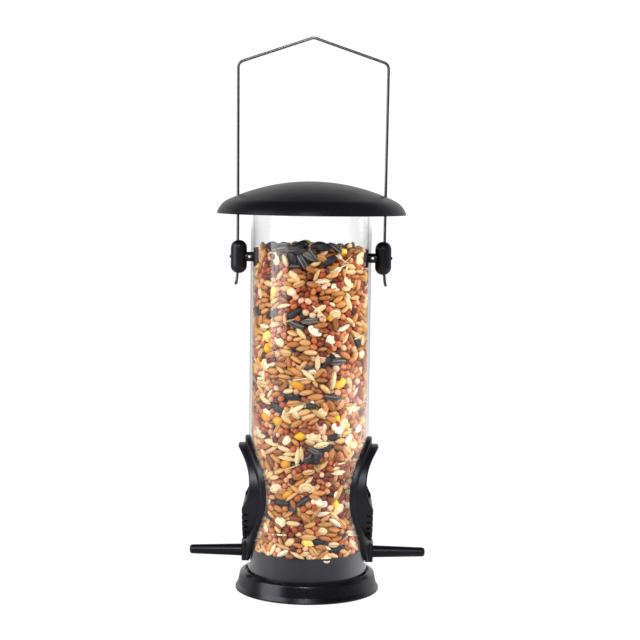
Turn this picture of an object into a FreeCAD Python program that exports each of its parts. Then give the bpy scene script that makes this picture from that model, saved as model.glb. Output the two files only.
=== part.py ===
# Hanging tube feeder for wild birds: a clear tube with two feeding ports, a base, a wire bail
# handle and a lid that slides up the handle. Origin at the middle of the base's underside,
# +Z up, the two ports and perches along X. Millimetres.
import FreeCAD, Part
import Sketcher
import math
import os

doc = FreeCAD.newDocument("tube_feeder")
V = FreeCAD.Vector

# ---------------------------------------------------------------- driving dimensions

SIZES = [
    # clear tube
    ("tube_radius", 35.0), ("tube_wall", 1.5), ("tube_foot", 3.5), ("tube_top", 227.6),
    ("window_radius", 16.5), ("window_height", 62.5),
    # base ring
    ("foot_radius", 42.1), ("foot_lip", 0.9), ("flare_radius", 40.7), ("flare_height", 3.2),
    ("ring_radius", 39.4), ("ring_height", 10.8), ("ring_mouth", 36.4), ("ring_bore", 35.25),
    ("gutter_depth", 1.5), ("floor_low", 1.8), ("floor_high", 3.4), ("foot_bore", 37.6),
    ("shoulder_drop", 1.2), ("ring_shoulder", 1.3), ("ring_brim", 0.5),
    ("drain_radius", 1.6), ("drain_circle", 23.0), ("drain_count", 6),
    # inner cup, which closes the tube and turns the seed outwards
    ("cup_radius", 33.3), ("cup_wall", 2.0), ("cup_foot", 3.6), ("cup_height", 24.0),
    ("cone_edge", 11.0), ("cone_top", 29.0), ("cone_wall", 1.8), ("boss_radius", 4.2),
    ("notch_half", 4.2), ("notch_floor", 17.2),
    ("screw_radius", 1.5), ("screw_top", 22.0), ("screw_head_radius", 3.2), ("screw_head", 1.3),
    # feeding port
    ("flange_inner", 35.12), ("flange_outer", 37.1), ("flange_middle", 58.0),
    ("flange_rise", 32.0), ("flange_half", 25.8), ("flange_foot", 16.7), ("foot_half", 7.0),
    ("foot_side", 11.6), ("foot_side_height", 19.0), ("taper_half", 22.0), ("taper_height", 41.5),
    ("flange_round", 0.7),
    ("spout_middle", 57.0), ("spout_rise", 28.6), ("spout_half", 24.6), ("spout_wall", 1.9),
    ("spout_reach", 40.9), ("spout_round", 0.8),
    ("brow_radius", 27.5), ("brow_middle", 65.5), ("brow_back", 33.8),
    ("tray_reach", 37.8), ("tray_lip", 50.3), ("tray_floor", 46.8),
    ("rib_first", 47.4), ("rib_pitch", 3.9), ("rib_gap", 1.3), ("rib_depth", 1.3), ("rib_count", 5),
    ("rib_back", 34.2), ("block_reach", 38.8), ("block_top", 27.6),
    # inner half of the port
    ("plate_outer", 33.38), ("plate_inner", 32.0), ("plate_radius", 20.0),
    ("hood_inner_reach", 19.0), ("hood_low", 57.0), ("hood_high", 80.0), ("hood_wall", 1.6),
    ("hood_half", 15.4),
    # perch
    ("perch_height", 21.6), ("perch_root", 3.55), ("perch_tip", 2.65), ("perch_reach", 69.3),
    ("perch_round", 1.7), ("spigot_radius", 2.0), ("spigot_end", 29.6),
    ("nut_radius", 3.5), ("nut_low", 30.2), ("nut_high", 33.2),
    # bail handle
    ("leg_offset", 42.6), ("wire_radius", 0.8), ("lean_height", 211.0), ("lean_radius", 400.0),
    ("shoulder_offset", 43.2), ("shoulder_height", 306.2), ("apex_height", 320.8),
    ("handle_bend", 4.0), ("tail_height", 179.2), ("tail_bend", 2.2), ("tail_lean", 0.6),
    ("tail_reach", 3.6),
    # lugs that carry the handle, their pins and their inner plates
    ("lug_offset", 41.9), ("lug_radius", 4.7), ("lug_height", 19.2), ("lug_round", 4.3),
    ("lug_middle", 194.6), ("lug_nub", 0.85), ("lug_nub_reach", 47.2), ("lug_bore", 2.85),
    ("lug_bore_end", 40.3), ("pin_radius", 2.8), ("pin_start", 30.4), ("pin_end", 40.2),
    ("pin_eye", 0.75), ("pin_eye_offset", 35.8), ("pin_head_radius", 4.2), ("pin_head_end", 31.7),
    ("washer_outer", 33.38), ("washer_inner", 32.1), ("washer_half", 9.0), ("washer_rise", 5.2),
    # lid
    ("lid_radius", 54.9), ("lid_rim", 219.8), ("lid_top", 238.6), ("dome_radius", 113.2),
    ("corner_radius", 12.4), ("lid_wall", 1.8), ("lid_hole", 1.7), ("lid_hole_offset", 42.8),
    ("collar_inner", 35.4), ("collar_outer", 37.2), ("collar_low", 220.4),
    ("seat_height", 227.8), ("seat_inner", 31.0), ("lid_rib", 1.4),
    # seed
    ("seed_radius", 33.2), ("seed_shoulder", 200.0), ("seed_crown", 205.0),
]

dims = doc.addObject("Spreadsheet::Sheet", "dims")
for row, (alias, value) in enumerate(SIZES, start=1):
    dims.set(f"A{row}", alias)
    dims.set(f"B{row}", str(value))
    dims.setAlias(f"B{row}", alias)
doc.recompute()


def size(alias):
    return float(getattr(dims, alias))


# ---------------------------------------------------------------- small helpers

ALONG_X = FreeCAD.Rotation(V(0, 1, 0), 90)
ALONG_Y = FreeCAD.Rotation(V(1, 0, 0), -90)
UPRIGHT_ELLIPSE = FreeCAD.Rotation(V(0, 1, 0), -90)


def bind(thing, **expressions):
    """Sets sizes from the sheet; a double underscore in a name stands for a dot."""
    for name, expression in expressions.items():
        thing.setExpression(name.replace("__", "."), expression)
    return thing


def place(thing, x="0", y="0", z="0", rotation=None):
    if rotation is not None:
        thing.Placement = FreeCAD.Placement(V(0, 0, 0), rotation)
    return bind(thing, Placement__Base__x=x, Placement__Base__y=y, Placement__Base__z=z)


def cylinder(name, radius, height, x="0", y="0", z="0", rotation=None):
    rod = doc.addObject("Part::Cylinder", name)
    bind(rod, Radius=radius, Height=height)
    return place(rod, x, y, z, rotation)


def block(name, length, width, height, x, y, z):
    box = doc.addObject("Part::Box", name)
    bind(box, Length=length, Width=width, Height=height)
    return place(box, x, y, z)


def oval_bar(name, rise, half, middle, start, length):
    """A bar of upright oval section that runs along +X from start."""
    oval = doc.addObject("Part::Ellipse", name + "_outline")
    bind(oval, MajorRadius=rise, MinorRadius=half)
    place(oval, start, "0", middle, UPRIGHT_ELLIPSE)
    bar = doc.addObject("Part::Extrusion", name)
    bar.Base = oval
    bar.DirMode = "Custom"
    bar.Dir = V(1, 0, 0)
    bar.Solid = True
    return bind(bar, LengthFwd=length)


def cut(name, base, *tools):
    tool = tools[0] if len(tools) == 1 else fuse(name + "_tools", *tools)
    result = doc.addObject("Part::Cut", name)
    result.Base = base
    result.Tool = tool
    return result


def fuse(name, *shapes):
    result = doc.addObject("Part::MultiFuse", name)
    result.Shapes = list(shapes)
    return result


def common(name, *shapes):
    result = doc.addObject("Part::MultiCommon", name)
    result.Shapes = list(shapes)
    return result


def mirrored(name, source):
    """The same piece on the other side of the feeder."""
    result = doc.addObject("Part::Mirroring", name)
    result.Source = source
    result.Normal = V(1, 0, 0)
    return result


def rounded(name, base, radius, is_wanted):
    """Rounds the edges of base that is_wanted picks by their middle point."""
    doc.recompute()
    result = doc.addObject("Part::Fillet", name)
    result.Base = base
    picked = []
    for number, edge in enumerate(base.Shape.Edges, start=1):
        middle = edge.valueAt((edge.FirstParameter + edge.LastParameter) / 2)
        if is_wanted(edge, middle):
            picked.append((number, radius, radius))
    result.Edges = picked
    return result


def new_body(name):
    return doc.addObject("PartDesign::Body", name)


def new_sketch(body, name, plane):
    sketch = body.newObject("Sketcher::SketchObject", name)
    features = body.Origin.OriginFeatures
    sketch.AttachmentSupport = [next(f for f in features if f.Role == plane), ""]
    sketch.MapMode = "FlatFace"
    return sketch


def draw_outline(sketch, corners):
    """A closed outline of straight lines. Each corner is a pair of expressions, and a 0 puts the
    corner on that axis of the sketch."""
    count = len(corners)
    ring = [V(math.cos(2 * math.pi * i / count) + 2, math.sin(2 * math.pi * i / count) + 2, 0)
            for i in range(count)]
    for i in range(count):
        sketch.addGeometry(Part.LineSegment(ring[i], ring[(i + 1) % count]), False)
    for i in range(count):
        sketch.addConstraint(Sketcher.Constraint("Coincident", i, 2, (i + 1) % count, 1))
    for i, (across, up) in enumerate(corners):
        for kind, expression, axis in (("DistanceX", across, -2), ("DistanceY", up, -1)):
            if expression == "0":
                sketch.addConstraint(Sketcher.Constraint("PointOnObject", i, 1, axis))
            else:
                number = sketch.addConstraint(Sketcher.Constraint(kind, i, 1, 1.0 + i))
                sketch.setExpression(f"Constraints[{number}]", expression)
    return sketch


def revolve(body, sketch, axis="V_Axis"):
    turned = body.newObject("PartDesign::Revolution", body.Name + "_turned")
    turned.Profile = sketch
    turned.ReferenceAxis = (sketch, [axis])
    turned.Angle = 360.0
    sketch.Visibility = False
    return turned


finished = []


def part(thing, label):
    """Marks a finished sub-part and gives it the name of its node."""
    thing.Label = label
    finished.append(thing)
    return thing


# ---------------------------------------------------------------- tube


def make_tube():
    wall = cut(
        "tube_wall_ring",
        cylinder("tube_outside", "dims.tube_radius", "dims.tube_top - dims.tube_foot",
                 z="dims.tube_foot"),
        cylinder("tube_inside", "dims.tube_radius - dims.tube_wall",
                 "dims.tube_top - dims.tube_foot", z="dims.tube_foot"),
    )
    across = "2 * dims.tube_radius + 10"
    start = "-dims.tube_radius - 5"
    return cut(
        "tube_cut", wall,
        cylinder("tube_windows", "dims.window_radius", across, x=start,
                 z="dims.window_height", rotation=ALONG_X),
        cylinder("tube_pin_holes", "dims.pin_radius + 0.15", across, x=start,
                 z="dims.lug_middle", rotation=ALONG_X),
        cylinder("tube_perch_holes", "dims.spigot_radius + 0.15", across, x=start,
                 z="dims.perch_height", rotation=ALONG_X),
    )


# ---------------------------------------------------------------- base


def make_base_ring():
    body = new_body("base_ring_body")
    outline = draw_outline(new_sketch(body, "base_ring_outline", "XZ_Plane"), [
        ("dims.foot_bore", "0"),
        ("dims.foot_radius", "0"),
        ("dims.foot_radius", "dims.foot_lip"),
        ("dims.flare_radius", "dims.flare_height"),
        ("dims.ring_radius", "dims.ring_height - dims.shoulder_drop"),
        ("dims.ring_mouth + 0.7", "dims.ring_height"),
        ("dims.ring_mouth", "dims.ring_height"),
        ("dims.ring_mouth - 0.4", "dims.ring_height - dims.gutter_depth"),
        ("dims.ring_bore", "dims.ring_height - dims.gutter_depth"),
        ("dims.ring_bore", "dims.floor_high"),
        ("0", "dims.floor_high"),
        ("0", "dims.floor_low"),
        ("dims.foot_bore", "dims.floor_low"),
    ])
    turned = revolve(body, outline)
    doc.recompute()

    def circle_at(radius, height):
        for number, edge in enumerate(turned.Shape.Edges, start=1):
            curve = edge.Curve
            if isinstance(curve, Part.Circle) and abs(curve.Radius - radius) < 0.01:
                if abs(curve.Center.z - height) < 0.01:
                    return f"Edge{number}"
        raise RuntimeError(f"no circle of radius {radius} at height {height}")

    brim = body.newObject("PartDesign::Fillet", "base_ring_brim")
    brim.Base = (turned, [circle_at(size("ring_mouth") + 0.7, size("ring_height"))])
    bind(brim, Radius="dims.ring_brim")
    doc.recompute()
    turned = brim
    shoulder = body.newObject("PartDesign::Fillet", "base_ring_shoulder")
    shoulder.Base = (turned, [circle_at(size("ring_radius"),
                                        size("ring_height") - size("shoulder_drop"))])
    bind(shoulder, Radius="dims.ring_shoulder")
    doc.recompute()

    drain_sketch = new_sketch(body, "base_ring_drain", "XY_Plane")
    drain_sketch.addGeometry(Part.Circle(V(20, 0, 0), V(0, 0, 1), 2), False)
    drain_sketch.addConstraint(Sketcher.Constraint("PointOnObject", 0, 3, -1))
    across = drain_sketch.addConstraint(Sketcher.Constraint("DistanceX", 0, 3, 20))
    drain_sketch.setExpression(f"Constraints[{across}]", "dims.drain_circle")
    radius = drain_sketch.addConstraint(Sketcher.Constraint("Radius", 0, 2))
    drain_sketch.setExpression(f"Constraints[{radius}]", "dims.drain_radius")
    before = body.Shape.Volume
    drain = body.newObject("PartDesign::Pocket", "base_ring_drain_hole")
    drain.Profile = drain_sketch
    drain.Midplane = True
    bind(drain, Length="2 * dims.floor_high + 2")
    doc.recompute()
    drains = body.newObject("PartDesign::PolarPattern", "base_ring_drains")
    drains.Originals = [drain]
    drains.Axis = (drain_sketch, ["N_Axis"])
    drains.Angle = 360.0
    bind(drains, Occurrences="dims.drain_count")
    body.Tip = drains
    doc.recompute()
    if before - body.Shape.Volume < 50:
        raise RuntimeError("the drain holes cut nothing")
    return cut("base_ring_bored", body,
               cylinder("base_ring_screw_hole", "dims.screw_radius + 0.2", "10", z="-2"))


def make_base_cup():
    body = new_body("base_cup_body")
    inside = "dims.cup_radius - dims.cup_wall"
    revolve(body, draw_outline(new_sketch(body, "base_cup_outline", "XZ_Plane"), [
        ("dims.cup_radius", "dims.cup_foot"),
        ("dims.cup_radius", "dims.cup_height"),
        (inside, "dims.cup_height"),
        (inside, "dims.cone_edge"),
        ("0", "dims.cone_top"),
        ("0", "dims.cup_foot"),
        ("dims.boss_radius", "dims.cup_foot"),
        ("dims.boss_radius", "dims.cone_top - 5"),
        (inside, "dims.cone_edge - dims.cone_wall"),
        (inside, "dims.cup_foot"),
    ]))
    return cut(
        "base_cup_cut", body,
        *[block(f"base_cup_notch_{name}", "6", "2 * dims.notch_half", "20", x,
                "-dims.notch_half", "dims.notch_floor")
          for name, x in (("right", "dims.cup_radius - 5"), ("left", "-dims.cup_radius - 1"))],
        cylinder("base_cup_screw_hole", "dims.screw_radius",
                 "dims.screw_top - dims.cup_foot + 0.2", z="dims.cup_foot"),
    )


def make_base_screw():
    shank = cylinder("base_screw_shank", "dims.screw_radius", "dims.screw_top - dims.floor_low + 0.2",
                     z="dims.floor_low - 0.2")
    head = cylinder("base_screw_head", "dims.screw_head_radius", "dims.screw_head",
                    z="dims.floor_low - dims.screw_head")
    slots = [
        block("base_screw_slot_x", "4", "0.8", "0.8", "-2", "-0.4", "dims.floor_low - dims.screw_head"),
        block("base_screw_slot_y", "0.8", "4", "0.8", "-0.4", "-2", "dims.floor_low - dims.screw_head"),
    ]
    return cut("base_screw_cut", fuse("base_screw_blank", shank, head), *slots)


# ---------------------------------------------------------------- feeding port, right-hand one


def sleeve(name, inner, outer, low, high):
    """A ring around the tube."""
    height = f"({high}) - ({low})"
    return cut(name, cylinder(name + "_out", outer, height, z=low),
               cylinder(name + "_in", inner, height, z=low))


def tapered_plate(name, start, length):
    """The narrowing lower half of the flange's outline, as a bar along +X."""
    body = new_body(name)
    sketch = draw_outline(new_sketch(body, name + "_outline", "YZ_Plane"), [
        ("0", "dims.flange_foot"),
        ("dims.foot_half", "dims.flange_foot"),
        ("dims.foot_side", "dims.foot_side_height"),
        ("dims.taper_half", "dims.taper_height"),
        ("0", "dims.taper_height"),
    ])
    pad = body.newObject("PartDesign::Pad", name + "_pad")
    pad.Profile = sketch
    bind(pad, Length=f"{start} + {length}")
    doc.recompute()
    other = body.newObject("PartDesign::Mirrored", name + "_mirrored")
    other.Originals = [pad]
    other.MirrorPlane = (sketch, ["V_Axis"])
    body.Tip = other
    return body


def brow(name, reach):
    """The hollow that is scooped from the spout's front, with its axis along Y."""
    return cylinder(name, "dims.brow_radius", reach,
                    x="dims.brow_back + dims.brow_radius", y=f"-({reach}) / 2",
                    z="dims.brow_middle", rotation=ALONG_Y)


def make_port_shroud():
    start = "15"
    flange_outline = fuse(
        "flange_outline",
        oval_bar("flange_oval", "dims.flange_rise", "dims.flange_half", "dims.flange_middle",
                 start, "40"),
        tapered_plate("flange_taper", start, "30"),
    )
    plate = common("flange_plate", flange_outline,
                   sleeve("flange_sleeve", "dims.flange_inner", "dims.flange_outer",
                          "dims.flange_foot", "dims.flange_middle + dims.flange_rise + 5"))
    flange = rounded(
        "flange", plate, size("flange_round"),
        lambda edge, middle: abs(math.hypot(middle.x, middle.y) - size("flange_outer")) < 0.05)
    spout = rounded(
        "spout",
        cut("spout_blank",
            oval_bar("spout_oval", "dims.spout_rise", "dims.spout_half", "dims.spout_middle",
                     start, "dims.spout_reach - 15"),
            brow("spout_brow", "80"),
            block("spout_tray_front", "20", "80", "dims.brow_middle", "dims.tray_reach",
                  "-40", "0")),
        size("spout_round"), lambda edge, middle: middle.x > size("brow_back") - 0.5)
    perch_block = common(
        "perch_block",
        block("perch_block_bar", "40", "2 * dims.foot_half", "dims.block_top - dims.flange_foot",
              "dims.flange_inner - 10", "-dims.foot_half", "dims.flange_foot"),
        cylinder("perch_block_round", "dims.block_reach", "100"),
    )
    mouth = common(
        "port_mouth",
        oval_bar("port_mouth_oval", "dims.spout_rise - dims.spout_wall",
                 "dims.spout_half - dims.spout_wall", "dims.spout_middle", start, "60"),
        block("port_mouth_part", "80", "80", "60", start, "-40", "dims.tray_floor"),
    )
    tray_wall = block("port_tray_wall", "20", "80", "dims.tray_lip - dims.tray_floor + 5",
                      "dims.tray_reach - dims.spout_wall", "-40", "dims.tray_floor - 5")
    return cut("port_shroud_cut",
               fuse("port_blank", flange, cut("spout_ribbed", spout, rib_gaps()), perch_block),
               cylinder("port_tube_room", "dims.flange_inner", "250"),
               cut("port_mouth_open", mouth, tray_wall),
               cylinder("port_perch_hole", "dims.spigot_radius + 0.05", "40", x="20",
                        z="dims.perch_height", rotation=ALONG_X))


def rib_gaps():
    """The level grooves across the front of the tray."""
    gaps = []
    for number in range(int(size("rib_count"))):
        gaps.append(block(f"rib_gap_{number + 1}", "40", "80", "dims.rib_gap",
                          "dims.rib_back", "-40",
                          f"dims.rib_first - {number} * dims.rib_pitch - dims.rib_gap / 2"))
    core = common(
        "rib_core",
        oval_bar("rib_core_oval", "dims.spout_rise - dims.rib_depth / 2",
                 "dims.spout_half - dims.rib_depth", "dims.spout_middle", "0", "60"),
        block("rib_core_front", "dims.tray_reach - dims.rib_depth", "80", "dims.tray_lip",
              "0", "-40", "0"),
    )
    return cut("rib_gaps", fuse("rib_gap_slabs", *gaps), core)


def make_port_baffle():
    """A plate behind the tube's window and a sloping hood that holds the seed back."""
    ring = cut(
        "baffle_ring",
        common("baffle_plate",
               sleeve("baffle_sleeve", "dims.plate_inner", "dims.plate_outer", "30", "90"),
               cylinder("baffle_plate_round", "dims.plate_radius", "60", x="10",
                        z="dims.window_height", rotation=ALONG_X)),
        cylinder("baffle_plate_window", "dims.window_radius - 0.8", "60", x="10",
                 z="dims.window_height", rotation=ALONG_X),
    )
    body = new_body("baffle_hood_body")
    sketch = draw_outline(new_sketch(body, "baffle_hood_outline", "XZ_Plane"), [
        ("dims.plate_outer", "dims.hood_high - dims.hood_wall"),
        ("dims.plate_outer", "dims.hood_high"),
        ("dims.hood_inner_reach", "dims.hood_low + dims.hood_wall"),
        ("dims.hood_inner_reach", "dims.hood_low"),
    ])
    pad = body.newObject("PartDesign::Pad", "baffle_hood_pad")
    pad.Profile = sketch
    pad.Midplane = True
    bind(pad, Length="2 * dims.hood_half")
    hood = common("baffle_hood", body,
                  cylinder("baffle_hood_limit", "dims.plate_inner + 0.4", "100"))
    return fuse("port_baffle_joined", ring, hood)


def make_perch():
    body = new_body("perch_body")
    sketch = draw_outline(new_sketch(body, "perch_outline", "XY_Plane"), [
        ("dims.spigot_end", "0"),
        ("dims.perch_reach", "0"),
        ("dims.perch_reach", "dims.perch_tip"),
        ("dims.block_reach + 0.05", "dims.perch_root"),
        ("dims.block_reach + 0.05", "dims.spigot_radius"),
        ("dims.spigot_end", "dims.spigot_radius"),
    ])
    turned = revolve(body, sketch, "H_Axis")
    doc.recompute()
    tip = next(f"Edge{number}" for number, edge in enumerate(turned.Shape.Edges, start=1)
               if isinstance(edge.Curve, Part.Circle)
               and abs(edge.Curve.Radius - size("perch_tip")) < 0.01)
    rounding = body.newObject("PartDesign::Fillet", "perch_rounding")
    rounding.Base = (turned, [tip])
    bind(rounding, Radius="dims.perch_round")
    bind(body, Placement__Base__z="dims.perch_height")
    return body


def make_perch_nut():
    nut = doc.addObject("Part::Prism", "perch_nut_hexagon")
    nut.Polygon = 6
    bind(nut, Circumradius="dims.nut_radius", Height="dims.nut_high - dims.nut_low")
    place(nut, "dims.nut_low", "0", "dims.perch_height", ALONG_X)
    return cut("perch_nut_cut", nut,
               cylinder("perch_nut_bore", "dims.spigot_radius + 0.04", "10", x="dims.nut_low - 3",
                        z="dims.perch_height", rotation=ALONG_X))


# ---------------------------------------------------------------- bail handle


def bent_wire(corners, radius):
    """A round wire along straight runs, with each corner rounded to its own bend radius.
    corners holds a point and a bend radius for each corner; the two ends have radius 0."""
    points = [point for point, _ in corners]
    edges = []
    here = points[0]
    for i in range(1, len(points) - 1):
        into = (points[i] - points[i - 1]).normalize()
        out = (points[i + 1] - points[i]).normalize()
        half_turn = into.getAngle(out) / 2
        bend = corners[i][1]
        reach = bend * math.tan(half_turn)
        start = points[i] - into * reach
        end = points[i] + out * reach
        inward = (out - into).normalize()
        middle = points[i] + inward * (bend / math.cos(half_turn) - bend)
        edges.append(Part.LineSegment(here, start).toShape())
        edges.append(Part.Arc(start, middle, end).toShape())
        here = end
    edges.append(Part.LineSegment(here, points[-1]).toShape())
    path = Part.Wire(edges)
    section = Part.Wire(Part.Circle(points[0], points[1] - points[0], radius).toShape())
    wire = path.makePipeShell([section], True, True)
    expected = math.pi * radius ** 2 * path.Length
    if abs(wire.Volume - expected) > 0.02 * expected:
        raise RuntimeError(f"the wire's volume is {wire.Volume}, not about {expected}")
    return wire


def make_handle_wire():
    leg = size("leg_offset")
    lean = size("tail_lean")
    low = size("tail_height")
    right = [
        (V(leg + 1.3 * lean, -size("tail_reach"), low), 0),
        (V(leg + lean, 0, low), size("tail_bend")),
        (V(leg, 0, low + 6.0), 12.0),
        (V(leg, 0, size("lean_height")), size("lean_radius")),
        (V(size("shoulder_offset"), 0, size("shoulder_height")), size("handle_bend")),
    ]
    left = [(V(-point.x, point.y, point.z), bend) for point, bend in reversed(right)]
    corners = right + [(V(0, 0, size("apex_height")), size("handle_bend"))] + left
    handle = doc.addObject("Part::Feature", "handle_wire_shape")
    handle.Shape = bent_wire(corners, size("wire_radius"))
    return handle


def make_handle_lug():
    barrel = cylinder("lug_barrel", "dims.lug_radius", "dims.lug_height", x="dims.lug_offset",
                      z="dims.lug_middle - dims.lug_height / 2")
    pill = rounded("lug_pill", barrel, size("lug_round"),
                   lambda edge, middle: isinstance(edge.Curve, Part.Circle))
    nub = cylinder("lug_nub", "dims.lug_nub", "dims.lug_nub_reach - dims.lug_offset - 2",
                   x="dims.lug_offset + 2", z="dims.lug_middle", rotation=ALONG_X)
    return cut(
        "lug_cut", fuse("lug_blank", pill, nub),
        cylinder("lug_wire_hole", "dims.wire_radius + 0.08", "40", x="dims.leg_offset",
                 z="dims.lug_middle - 20"),
        cylinder("lug_pin_bore", "dims.lug_bore", "dims.lug_bore_end - 30", x="30",
                 z="dims.lug_middle", rotation=ALONG_X),
    )


def make_lug_pin():
    shank = cylinder("pin_shank", "dims.pin_radius", "dims.pin_end - dims.pin_start",
                     x="dims.pin_start", z="dims.lug_middle", rotation=ALONG_X)
    head = cylinder("pin_head", "dims.pin_head_radius", "dims.pin_head_end - dims.pin_start",
                    x="dims.pin_start", z="dims.lug_middle", rotation=ALONG_X)
    eye = cylinder("pin_eye", "dims.pin_eye", "20", x="dims.pin_eye_offset", y="-10",
                   z="dims.lug_middle", rotation=ALONG_Y)
    return cut("lug_pin_cut", fuse("lug_pin_blank", shank, head), eye)


def make_lug_washer():
    plate = common(
        "washer_plate",
        sleeve("washer_sleeve", "dims.washer_inner", "dims.washer_outer",
               "dims.lug_middle - dims.washer_rise", "dims.lug_middle + dims.washer_rise"),
        block("washer_bar", "30", "2 * dims.washer_half", "40", "10", "-dims.washer_half",
              "dims.lug_middle - 20"),
    )
    return cut("washer_cut", plate,
               cylinder("washer_bore", "dims.pin_radius + 0.1", "30", x="20",
                        z="dims.lug_middle", rotation=ALONG_X))


# ---------------------------------------------------------------- lid


def dome(name, inset):
    """A solid dome: a shallow cap that turns down through a rounded corner to the rim.
    inset is how far it lies inside the lid's outer skin."""
    cap = size("dome_radius") - size(inset) if inset else size("dome_radius")
    corner = size("corner_radius") - size(inset) if inset else size("corner_radius")
    less = f" - dims.{inset}" if inset else ""
    top = size("lid_top") - (size("dome_radius") - cap)
    rim_x = size("lid_radius") - (size("dome_radius") - cap)
    rim_z = size("lid_rim")

    # where the corner's circle, which touches the cap from inside, has its centre
    cap_centre = V(0, top - cap, 0)
    rim = V(rim_x, rim_z, 0)
    gap = (rim - cap_centre).Length
    along = ((cap - corner) ** 2 - corner ** 2 + gap ** 2) / (2 * gap)
    across = math.sqrt((cap - corner) ** 2 - along ** 2)
    towards = (rim - cap_centre).normalize()
    centre = cap_centre + towards * along + V(-towards.y, towards.x, 0) * across
    joint = cap_centre + (centre - cap_centre).normalize() * cap

    def angle(point, middle):
        return math.atan2(point.y - middle.y, point.x - middle.x)

    body = new_body(name)
    sketch = new_sketch(body, name + "_outline", "XZ_Plane")
    flat = V(0, 0, 1)
    sketch.addGeometry(Part.ArcOfCircle(Part.Circle(cap_centre, flat, cap),
                                        angle(joint, cap_centre), math.pi / 2), False)
    sketch.addGeometry(Part.ArcOfCircle(Part.Circle(centre, flat, corner),
                                        angle(rim, centre), angle(joint, centre)), False)
    sketch.addGeometry(Part.LineSegment(V(0, rim_z, 0), rim), False)
    sketch.addGeometry(Part.LineSegment(V(0, rim_z, 0), V(0, top, 0)), False)
    for constraint in (("Coincident", 0, 2, 3, 2), ("Coincident", 2, 1, 3, 1),
                       ("Coincident", 2, 2, 1, 1), ("Tangent", 0, 1, 1, 2),
                       ("PointOnObject", 0, 3, -2), ("Horizontal", 2), ("Vertical", 3),
                       ("PointOnObject", 2, 1, -2)):
        sketch.addConstraint(Sketcher.Constraint(*constraint))
    for constraint, expression in (
            (("Radius", 0, cap), "dims.dome_radius" + less),
            (("Radius", 1, corner), "dims.corner_radius" + less),
            (("DistanceY", 3, 2, top), "dims.lid_top" + less),
            (("DistanceX", 2, 2, rim_x), "dims.lid_radius" + less),
            (("DistanceY", 2, 2, rim_z), "dims.lid_rim")):
        number = sketch.addConstraint(Sketcher.Constraint(*constraint))
        sketch.setExpression(f"Constraints[{number}]", expression)
    revolve(body, sketch)
    return body


def make_lid():
    outside = dome("lid_outside", "")
    shell = cut("lid_shell", outside, dome("lid_inside", "lid_wall"))
    high = "dims.lid_top + 5"
    collar = fuse(
        "lid_collar_and_ribs",
        sleeve("lid_collar", "dims.collar_inner", "dims.collar_outer", "dims.collar_low", high),
        sleeve("lid_seat", "dims.seat_inner", "dims.collar_outer", "dims.seat_height", high),
        *lid_ribs(),
    )
    return cut(
        "lid_cut", fuse("lid_blank", shell, common("lid_fittings", collar, outside)),
        *[cylinder(f"lid_hole_{name}", "dims.lid_hole", "40", x=f"{sign}dims.lid_hole_offset",
                   z="dims.lid_rim - 5") for name, sign in (("right", ""), ("left", "-"))],
    )


def lid_ribs():
    """Four ribs from the collar out to the skirt, each well clear of the wire's holes."""
    ribs = []
    for number in range(4):
        rib = block(f"lid_rib_{number + 1}", "dims.lid_radius - dims.collar_inner - 3",
                    "dims.lid_rib", "30", "0", "0", "dims.lid_rim + 1.4")
        turn = 45 + 90 * number
        rib.Placement.Rotation = FreeCAD.Rotation(V(0, 0, 1), turn)
        bind(rib, Placement__Base__x=f"(dims.collar_inner + 1) * cos({turn}) "
                                     f"+ dims.lid_rib / 2 * sin({turn})",
             Placement__Base__y=f"(dims.collar_inner + 1) * sin({turn}) "
                                f"- dims.lid_rib / 2 * cos({turn})")
        ribs.append(rib)
    return ribs


# ---------------------------------------------------------------- seed


def make_seed_fill():
    """The seed as one solid: it fills the tube to a low mound, fits over the cup's cone, and
    slopes down to the tray in each port."""
    body = new_body("seed_body")
    inside = "dims.cup_radius - dims.cup_wall - 0.2"
    revolve(body, draw_outline(new_sketch(body, "seed_outline", "XZ_Plane"), [
        ("0", "dims.cone_top + 0.2"),
        (inside, "dims.cone_edge + 0.2"),
        (inside, "dims.cup_height + 0.2"),
        ("dims.seed_radius", "dims.cup_height + 0.2"),
        ("dims.seed_radius", "dims.seed_shoulder"),
        ("dims.seed_radius / 2", "dims.seed_crown - 1"),
        ("0", "dims.seed_crown"),
    ]))
    slope = new_body("port_room")
    sketch = draw_outline(new_sketch(slope, "port_room_outline", "XZ_Plane"), [
        ("dims.tube_radius + 6", "dims.hood_high + 3"),
        ("dims.plate_outer", "dims.hood_high + 3"),
        ("dims.hood_inner_reach - 1", "dims.hood_low + dims.hood_wall + 1"),
        ("dims.hood_inner_reach - 1", "dims.hood_low - 1"),
        ("dims.tube_radius + 6", "dims.tray_floor"),
    ])
    pad = slope.newObject("PartDesign::Pad", "port_room_pad")
    pad.Profile = sketch
    pad.Midplane = True
    bind(pad, Length="2 * dims.plate_radius + 1")
    plate_room = common(
        "plate_room",
        sleeve("plate_room_sleeve", "dims.plate_inner - 0.2", "dims.tube_radius", "30", "90"),
        cylinder("plate_room_round", "dims.plate_radius + 0.3", "60", x="10",
                 z="dims.window_height", rotation=ALONG_X),
    )
    nut_room = block("nut_room", "8", "2 * dims.nut_radius + 1", "2 * dims.nut_radius + 1",
                     "dims.spigot_end - 0.4", "-dims.nut_radius - 0.5",
                     "dims.perch_height - dims.nut_radius - 0.5")
    washer_room = block("washer_room", "8", "2 * dims.washer_half + 1", "20",
                        "dims.pin_start - 0.6", "-dims.washer_half - 0.5",
                        "dims.lug_middle - dims.washer_rise - 0.4")
    rooms = [slope, plate_room, nut_room, washer_room]
    rooms += [mirrored(room.Name + "_left", room) for room in rooms]
    return cut("seed_cut", body, *rooms)


# ---------------------------------------------------------------- the whole feeder

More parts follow.
